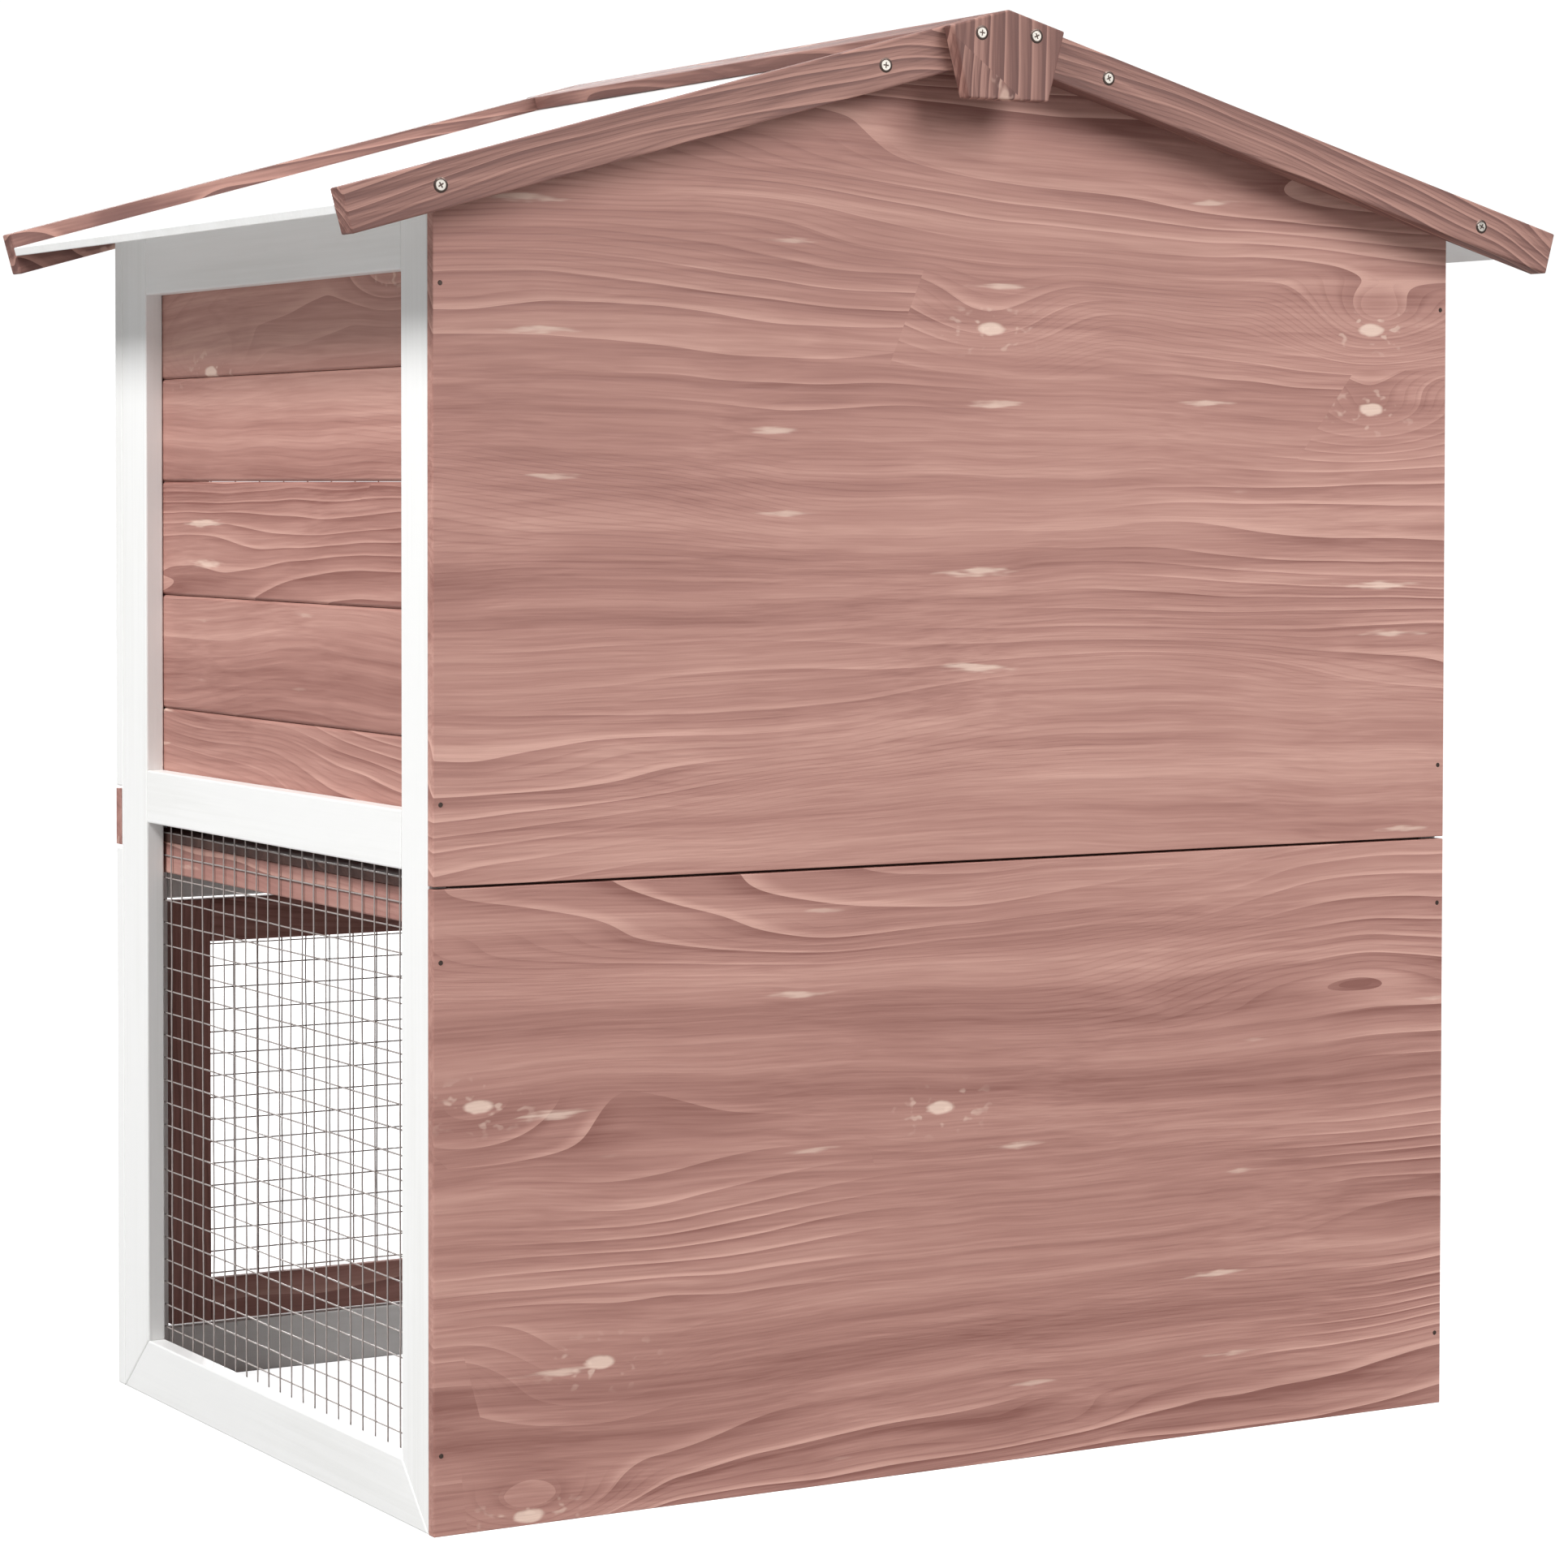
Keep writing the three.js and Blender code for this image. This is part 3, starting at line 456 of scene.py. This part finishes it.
def rod(bm, start, end, radius, sides):
    """A straight round bar between two points, closed at both ends."""
    way = Vector(end) - Vector(start)
    turn = way.to_track_quat("Z", "Y").to_matrix().to_4x4()
    matrix = Matrix.Translation((Vector(start) + Vector(end)) / 2) @ turn
    bmesh.ops.create_cone(bm, cap_ends=True, segments=sides, radius1=radius, radius2=radius,
                          depth=way.length, matrix=matrix)


# ---------- fixings ----------

def facing(at, out):
    """Places +Z of a small part along out, with its foot at a point."""
    return Matrix.Translation(at) @ Vector(out).to_track_quat("Z", "Y").to_matrix().to_4x4()


def add_copy(bm, mesh, matrix):
    """Adds a small mesh to a larger one at a place."""
    before = len(bm.verts)
    bm.from_mesh(mesh)
    bm.verts.ensure_lookup_table()
    bmesh.ops.transform(bm, matrix=matrix, verts=bm.verts[before:])


def cut_across(bm, axis, at):
    """Cuts every face where it crosses a plane square to an axis."""
    normal = Vector((0.0, 0.0, 0.0))
    normal[axis] = 1.0
    every = bm.verts[:] + bm.edges[:] + bm.faces[:]
    bmesh.ops.bisect_plane(bm, geom=every, dist=1e-8, plane_co=normal * at, plane_no=normal)


def screw_head():
    """A countersunk head of unit radius, standing on z = 0, with a cross recess."""
    bm = bmesh.new()
    bmesh.ops.create_cone(bm, cap_ends=True, segments=20, radius1=1.0, radius2=0.9, depth=0.26)
    arm, slot = 0.55, 0.13
    for axis in (0, 1):
        for at in (-arm, -slot, slot, arm):
            cut_across(bm, axis, at)
    cross = []
    for face in bm.faces:
        x, y, z = (abs(c) for c in face.calc_center_median())
        if face.normal.z > 0.9 and (max(x, y) < arm and min(x, y) < slot):
            cross.append(face)
    dug = bmesh.ops.extrude_face_region(bm, geom=cross)
    sunk = [v for v in dug["geom"] if isinstance(v, bmesh.types.BMVert)]
    bmesh.ops.delete(bm, geom=[f for f in cross if f.is_valid], context="FACES_ONLY")
    bmesh.ops.translate(bm, verts=sunk, vec=(0.0, 0.0, -0.2))
    bmesh.ops.recalc_face_normals(bm, faces=bm.faces)
    mesh = bpy.data.meshes.new("screw_head")
    bm.to_mesh(mesh)
    bm.free()
    return mesh


SCREW_HEAD = screw_head()


def disc(bm, place, radius, height, sides):
    """A low round pad with a softened rim."""
    bmesh.ops.create_cone(bm, cap_ends=True, segments=sides, radius1=radius, radius2=radius * 0.8,
                          depth=height, matrix=place @ Matrix.Translation((0, 0, height / 2)))


def screws(name, body, places, radius=BARGE_SCREW_RADIUS, shade_rings=True):
    """A set of screws: plated heads, each in a dark disc of painted shade that stands for the shadow in its
    countersink.
    """
    heads = bmesh.new()
    for i, (at, out) in enumerate(places):
        size = Matrix.Diagonal((radius, radius, radius, 1.0))
        add_copy(heads, SCREW_HEAD, facing(Vector(at), out) @ Matrix.Rotation(0.4 + 1.1 * i, 4, "Z") @ size)
    keep(f"{name}_screws", heads, body, SCREW_STEEL)
    if shade_rings:
        # a dark disc of painted shade round each head, for the shadow in its countersink
        painted_shade = bmesh.new()
        for at, out in places:
            disc(painted_shade, facing(Vector(at), out), radius * SHADE_RING_SPREAD, SHADE_RING_HEIGHT, 18)
        keep(f"{name}_painted_screw_shade", painted_shade, body, NAIL_STEEL_AND_SCREW_SHADE)


# ---------- wood ----------

def wall_frames():
    """The white frames of the two side walls."""
    for word in ("left", "right"):
        for part, along in (("front_stile", "z"), ("rear_stile", "z"), ("bottom_rail", "y"),
                            ("middle_rail", "y"), ("top_rail", "y")):
            eased(f"{word}_{part}", white(along, 1 if along == "y" else 0))


def front_frames():
    """The white frame round the doors."""
    eased("front_left_stile", white("z"))
    eased("front_right_stile", white("z"))
    for part in ("front_bottom_rail", "front_middle_rail", "front_gable_board"):
        eased(part, white("x"))


def cladding():
    """The planks of the side walls, the rails that the tray runs on and the two back panels."""
    number = 1
    for word in ("left", "right"):
        for i in range(1, 6):
            eased(f"{word}_plank_{i}", stained("stain", "y", number, Figure=0.7), THIN_ARRIS)
            number += 1
        eased(f"{word}_tray_runner", stained("door", "y", number + 20), ARRIS)
    upper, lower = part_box("back_panel_upper")[0].z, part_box("back_panel_lower")[1].z
    eased("back_panel_upper", stained("stain", "x", 0), THIN_ARRIS, trim=(upper, PANEL_GAP / 2))
    eased("back_panel_lower", stained("stain", "x", 5), THIN_ARRIS, trim=(lower, -PANEL_GAP / 2))


def roofing():
    """Boards, ridge strips, barge boards and caps."""
    for word in ("left", "right"):
        slope = f"{word}_slope"
        eased(f"roof_board_{word}", white(slope), THIN_ARRIS)
        eased(f"ridge_strip_{word}", stained("trim", "y", 2 if word == "left" else 7), ARRIS)
        eased(f"rear_barge_{word}", stained("trim", slope, 3), ARRIS)
        eased(f"front_barge_{word}", stained("trim", slope, 8), ARRIS)
    eased("rear_ridge_cap", stained("trim", "z", 4), ARRIS)
    eased("front_ridge_cap", stained("trim", "z", 9), ARRIS)


def inside_boards():
    """Upper floor, ramp, tray front and the closed half of the upper door."""
    eased("upper_floor", plywood("x"), THIN_ARRIS, 1)
    eased("ramp", plywood("x"), THIN_ARRIS, 1)
    eased("tray_front", stained("door", "x", 11), ARRIS)
    eased("upper_door_panel", stained("stain", "z", 12), THIN_ARRIS)


def cut_rebate(bm, axis, end, run, first, last):
    """Cuts a step for a mesh or panel along one edge of a batten's front, between two points of its run."""
    far = max(v.co[axis] * end for v in bm.verts)
    front = min(v.co.y for v in bm.verts)
    cut_across(bm, axis, (far - REBATE_LIP) * end)
    cut_across(bm, 1, front + DOOR_REBATE)
    cut_across(bm, run, first)
    cut_across(bm, run, last)

    def beside_bay(face):
        middle = face.calc_center_median()
        beyond = middle[axis] * end > far - REBATE_LIP
        return beyond and first < middle[run] < last and middle.y < front + DOOR_REBATE - MERGE

    strip = [f for f in bm.faces if beside_bay(f) and f.normal.y < -0.9]
    dug = bmesh.ops.extrude_face_region(bm, geom=strip)
    bmesh.ops.delete(bm, geom=[f for f in strip if f.is_valid], context="FACES_ONLY")
    moved = [v for v in dug["geom"] if isinstance(v, bmesh.types.BMVert)]
    bmesh.ops.translate(bm, verts=moved, vec=(0.0, DOOR_REBATE, 0.0))
    bm.normal_update()
    side = [f for f in bm.faces if beside_bay(f) and abs(f.normal[axis]) > 0.9
            and f.calc_center_median()[axis] * end > far - MERGE]
    bmesh.ops.delete(bm, geom=side, context="FACES")
    bmesh.ops.remove_doubles(bm, verts=bm.verts, dist=MERGE)
    bmesh.ops.recalc_face_normals(bm, faces=bm.faces)


def door_batten(name, body, low, high, along, number, rebates):
    """One batten of a door, rebated beside each bay that it borders."""
    bm = bmesh.new()
    block(bm, low, high)
    for rebate in rebates:
        cut_rebate(bm, *rebate)
    bmesh.ops.dissolve_limit(bm, angle_limit=math.radians(1.0), verts=bm.verts, edges=bm.edges)
    ease(bm, DOOR_ARRIS)
    return keep(name, bm, body, stained("door", along, number))


def door(word, number, bar=None):
    """The battens of a door. bar is where the upright bar between its two bays starts and ends."""
    body, node = f"{word}_door", f"{word}_door_frame"
    low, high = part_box(node)
    left, right = low.x + DOOR_MEMBER, high.x - DOOR_MEMBER
    foot, head = low.z + DOOR_MEMBER, high.z - DOOR_MEMBER
    near, far = low.y, high.y
    start, end = left + JOINT_GAP, right - JOINT_GAP
    opened = (foot - REBATE_LIP, head + REBATE_LIP)
    bays = [(left, right)] if bar is None else [(left, bar[0]), (bar[1], right)]
    reach = [(a - REBATE_LIP, b + REBATE_LIP) for a, b in bays]
    rows = [("hinge_stile", low, (left, far, high.z), "z", [(0, 1, 2, *opened)]),
            ("closing_stile", (right, near, low.z), high, "z", [(0, -1, 2, *opened)]),
            ("bottom_batten", (start, near, low.z), (end, far, foot), "x", [(2, 1, 0, *r) for r in reach]),
            ("top_batten", (start, near, head), (end, far, high.z), "x", [(2, -1, 0, *r) for r in reach])]
    if bar:
        rows.append(("bar", (bar[0], near, foot + JOINT_GAP), (bar[1], far, head - JOINT_GAP), "z",
                     [(0, -1, 2, *opened), (0, 1, 2, *opened)]))
    for i, (part, bottom, top, along, rebates) in enumerate(rows):
        piece = door_batten(f"{body}_{part}", body, bottom, top, along, number + i, rebates)
        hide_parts(node)


def doors():
    """The lower door has one bay, the upper door two."""
    door("lower", 30)
    lap = REBATE_LIP - PANEL_PLAY
    door("upper", 36, (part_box("upper_door_panel")[1].x - lap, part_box("upper_door_mesh")[0].x + lap))


def turn_button(word, number):
    """A rounded bar on one screw."""
    node = f"{word}_turn_button"
    low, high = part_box(node)
    radius = (high.x - low.x) / 2
    straight = (high.z - low.z) / 2 - radius
    middle = Vector(((low.x + high.x) / 2, high.y, (low.z + high.z) / 2))
    bm = bmesh.new()
    bmesh.ops.create_circle(bm, cap_ends=True, segments=32, radius=radius)
    for vert in bm.verts:
        vert.co.y += straight if vert.co.y > 0 else -straight
    raised = bmesh.ops.extrude_face_region(bm, geom=bm.faces[:])
    top = [v for v in raised["geom"] if isinstance(v, bmesh.types.BMVert)]
    bmesh.ops.translate(bm, verts=top, vec=(0.0, 0.0, BUTTON_THICKNESS))
    bmesh.ops.recalc_face_normals(bm, faces=bm.faces)
    ease(bm, BUTTON_ARRIS, 3, 40.0)
    bmesh.ops.transform(bm, matrix=Matrix.Translation(middle) @ Matrix.Rotation(math.pi / 2, 4, "X"),
                        verts=bm.verts)
    made = keep(f"{node}_bar", bm, node, stained("door", "z", number))
    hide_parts(node)
    head = middle - Vector((0.0, BUTTON_THICKNESS, 0.0))
    screws(node, node, [(head, (0, -1, 0))], BUTTON_SCREW_RADIUS)


# ---------- metal ----------

def long_wire():
    """One drawn wire of unit radius and length along Z, very slightly wavy."""
    bm = bmesh.new()
    bmesh.ops.create_cone(bm, cap_ends=True, segments=WIRE_SIDES, radius1=1.0, radius2=1.0, depth=1.0)
    lengthwise = [e for e in bm.edges if abs(e.verts[0].co.z - e.verts[1].co.z) > 0.5]
    bmesh.ops.subdivide_edges(bm, edges=lengthwise, cuts=15, use_grid_fill=True)
    for vert in bm.verts:
        vert.co.x += 0.30 * math.sin(21.0 * vert.co.z) + 0.18 * math.sin(47.0 * vert.co.z + 1.0)
    for face in bm.faces:
        face.smooth = True
    mesh = bpy.data.meshes.new("long_wire")
    bm.to_mesh(mesh)
    bm.free()
    return mesh


LONG_WIRE = long_wire()


def welded_mesh(node, across, thick, out):
    """Upright and level wires welded in two layers.

    across and thick are axes. out is the side, -1 or 1 along thick, that the upright wires lie on.
    """
    low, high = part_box(node)
    middle = (low[thick] + high[thick]) / 2
    bm = bmesh.new()
    for axis, other, spacing, layer in ((across, 2, WIRE_SPACING, out), (2, across, WIRE_RISE, -out)):
        span = high[axis] - low[axis] - 2 * WIRE_RADIUS
        count = int(span / spacing)
        first = low[axis] + WIRE_RADIUS + (span - count * spacing) / 2
        way = Vector((0.0, 0.0, 0.0))
        way[other] = high[other] - low[other]
        for i in range(count + 1):
            at = (low + high) / 2
            at[axis] = first + i * spacing
            at[thick] = middle + layer * WIRE_RADIUS * WIRE_LAYER
            turn = way.to_track_quat("Z", "Y").to_matrix().to_4x4() @ Matrix.Rotation(2.4 * i, 4, "Z")
            size = Matrix.Diagonal((WIRE_RADIUS, WIRE_RADIUS, way.length, 1.0))
            add_copy(bm, LONG_WIRE, Matrix.Translation(at) @ turn @ size)
    made = keep(f"{node}_welded", bm, BODY_OF[node], MESH_WIRE, smooth=True)
    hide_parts(node)


def meshes():
    """Both side walls and both doors."""
    welded_mesh("left_wire_mesh", 1, 0, -1)
    welded_mesh("right_wire_mesh", 1, 0, 1)
    welded_mesh("lower_door_mesh", 0, 1, -1)
    welded_mesh("upper_door_mesh", 0, 1, -1)


def hinge_leaf(node, axis, side, knuckles):
    """A flat leaf with its knuckles. side is -1 for the fixed leaf and 1 for the door's."""
    low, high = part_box(node)
    middle = (low.z + high.z) / 2
    half = (high.z - low.z) / 2
    back = axis.y + KNUCKLE_RADIUS
    edge = low.x if side < 0 else high.x
    bm = bmesh.new()

    def plate(near, far, bottom, top):
        xs = sorted((axis.x + side * near, far))
        block(bm, (xs[0], back - LEAF_SHEET, bottom), (xs[1], back, top))

    def bar(bottom, top, radius, sides):
        rod(bm, (axis.x, axis.y, bottom), (axis.x, axis.y, top), radius, sides)

    plate(LEAF_ROOM, edge, low.z, high.z)
    for bottom, top in knuckles:
        plate(0.0, axis.x + side * (LEAF_ROOM + LEAF_LAP), middle + bottom * half, middle + top * half)
    ease(bm, METAL_EDGE)
    for bottom, top in knuckles:
        bar(middle + bottom * half, middle + top * half, KNUCKLE_RADIUS, 24)
    if side < 0:
        bar(low.z - PIN_PROUD, high.z + PIN_PROUD, KNUCKLE_RADIUS * 0.55, 16)
    made = keep(f"{node}_plate", bm, BODY_OF[node], HINGE_STEEL)
    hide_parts(node)
    x = (edge + axis.x + side * LEAF_ROOM) / 2
    places = [((x, back - LEAF_SHEET, middle + k * half * 0.58), (0, -1, 0)) for k in (-1, 1)]
    screws(node, BODY_OF[node], places, HINGE_SCREW_RADIUS, shade_rings=False)


def hinges():
    """Two hinges to each door, turning about the door's own joint line."""
    share, clear = KNUCKLE_SHARE, KNUCKLE_SHARE + KNUCKLE_PLAY
    for joint in frame["joints"]:
        if not joint["name"].endswith("door_hinge"):
            continue
        axis = Vector(joint["pos_m"])
        for place in ("lower", "upper"):
            name = f"{joint['child']}_{place}_hinge"
            hinge_leaf(f"{name}_fixed_leaf", axis, -1, [(-1, -clear), (clear, 1)])
            hinge_leaf(f"{name}_door_leaf", axis, 1, [(-share, share)])


def roof_screws():
    """Two screws through each barge board and two through each cap, front and back."""
    for end, side in (("rear", 1), ("front", -1)):
        outer = 1 if side > 0 else 0
        barge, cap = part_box(f"{end}_barge_right"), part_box(f"{end}_ridge_cap")
        peak = barge[1].z - BARGE_MIDDLE / math.cos(PITCH)
        spots = [((along * mirror, barge[outer].y, peak - along * math.tan(PITCH)), (0, side, 0))
                 for along in BARGE_SCREWS for mirror in (-1, 1)]
        screws(f"{end}_barges", "hutch", spots)
        spots = [((x, cap[outer].y, cap[1].z - CAP_SCREW_DROP), (0, side, 0))
                 for x in (-CAP_SCREWS, CAP_SCREWS)]
        screws(f"{end}_cap", "hutch", spots)


def back_nails():
    """Nails that hold the two back panels to the rear stiles."""
    low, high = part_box("back_panel_lower")
    bm = bmesh.new()
    for x in (low.x + NAIL_INSET, high.x - NAIL_INSET):
        for z in NAIL_LEVELS:
            disc(bm, facing(Vector((x, high.y, z)), (0, 1, 0)), NAIL_RADIUS, NAIL_HEIGHT, 12)
    keep("back_panel_nails", bm, "hutch", NAIL_STEEL_AND_SCREW_SHADE)


# ---------- stage ----------

def floor_material():
    """Matt and pale, and white where it is seen directly."""
    made = bpy.data.materials.new("studio_floor")
    made.use_nodes = True
    t = Tree(made.node_tree)
    shader = made.node_tree.nodes["Principled BSDF"]
    place = t.node("ShaderNodeTexCoord").outputs["Object"]
    shade = t.noise(place, 0.8, 0.8, 3.0)
    t.feed(shader.inputs["Base Color"], t.mix(shade, opaque(FLOOR[0]), opaque(FLOOR[1])))
    shader.inputs["Roughness"].default_value = 0.9
    shader.inputs["Emission Color"].default_value = (1.0, 1.0, 1.0, 1.0)
    seen = t.node("ShaderNodeLightPath").outputs["Is Camera Ray"]
    t.feed(shader.inputs["Emission Strength"], t.math("MULTIPLY", seen, FLOOR_GLOW))
    return made


def studio_floor():
    bm = bmesh.new()
    bmesh.ops.create_grid(bm, x_segments=1, y_segments=1, size=FLOOR_HALF)
    mesh = bpy.data.meshes.new("studio_floor")
    bm.to_mesh(mesh)
    bm.free()
    mesh.materials.append(floor_material())
    made = bpy.data.objects.new("studio_floor", mesh)
    COLLECTION.objects.link(made)


def soft_light(name, at, size, power):
    """A round studio light that looks at the middle of the hutch."""
    light = bpy.data.lights.new(name, "AREA")
    light.shape = "DISK"
    light.size = size
    light.energy = power
    made = bpy.data.objects.new(name, light)
    made.location = at
    made.rotation_euler = (Vector(LIT_POINT) - Vector(at)).to_track_quat("-Z", "Y").to_euler()
    COLLECTION.objects.link(made)


def surroundings():
    """A white room: brighter where it is seen directly than in the light that it gives."""
    world = bpy.data.worlds.new("white_room")
    world.use_nodes = True
    t = Tree(world.node_tree)
    background = world.node_tree.nodes["Background"]
    background.inputs["Color"].default_value = (1.0, 1.0, 1.0, 1.0)
    seen = t.node("ShaderNodeLightPath").outputs["Is Camera Ray"]
    t.feed(background.inputs["Strength"], t.between(seen, 0.0, 1.0, ROOM_LIGHT, ROOM_SEEN, smooth=False))
    bpy.context.scene.world = world


def camera():
    """Looks at the hutch from behind its right side, a little above its middle."""
    way = Vector((-math.sin(EYE_TURN) * math.cos(EYE_DIP), -math.cos(EYE_TURN) * math.cos(EYE_DIP),
                  -math.sin(EYE_DIP)))
    data = bpy.data.cameras.new("camera")
    data.sensor_width = SENSOR
    data.lens = LENS
    data.shift_y = EYE_SHIFT
    data.clip_end = 200.0
    made = bpy.data.objects.new("camera", data)
    COLLECTION.objects.link(made)
    made.rotation_mode = "QUATERNION"
    made.location = EYE
    view = way.to_track_quat("-Z", "Y").to_matrix() @ Matrix.Rotation(EYE_ROLL, 3, "Z")
    made.rotation_quaternion = view.to_quaternion()
    bpy.context.scene.camera = made


wall_frames()
front_frames()
cladding()
roofing()
inside_boards()
doors()
turn_button("lower", 50)
turn_button("upper", 51)
meshes()
hinges()
roof_screws()
back_nails()
eased("tray_pan", TRAY_SHEET, METAL_EDGE, 1)
studio_floor()
surroundings()
for light_name, values in LIGHTS.items():
    soft_light(light_name, *values)
camera()
bpy.context.scene.view_settings.view_transform = "Standard"
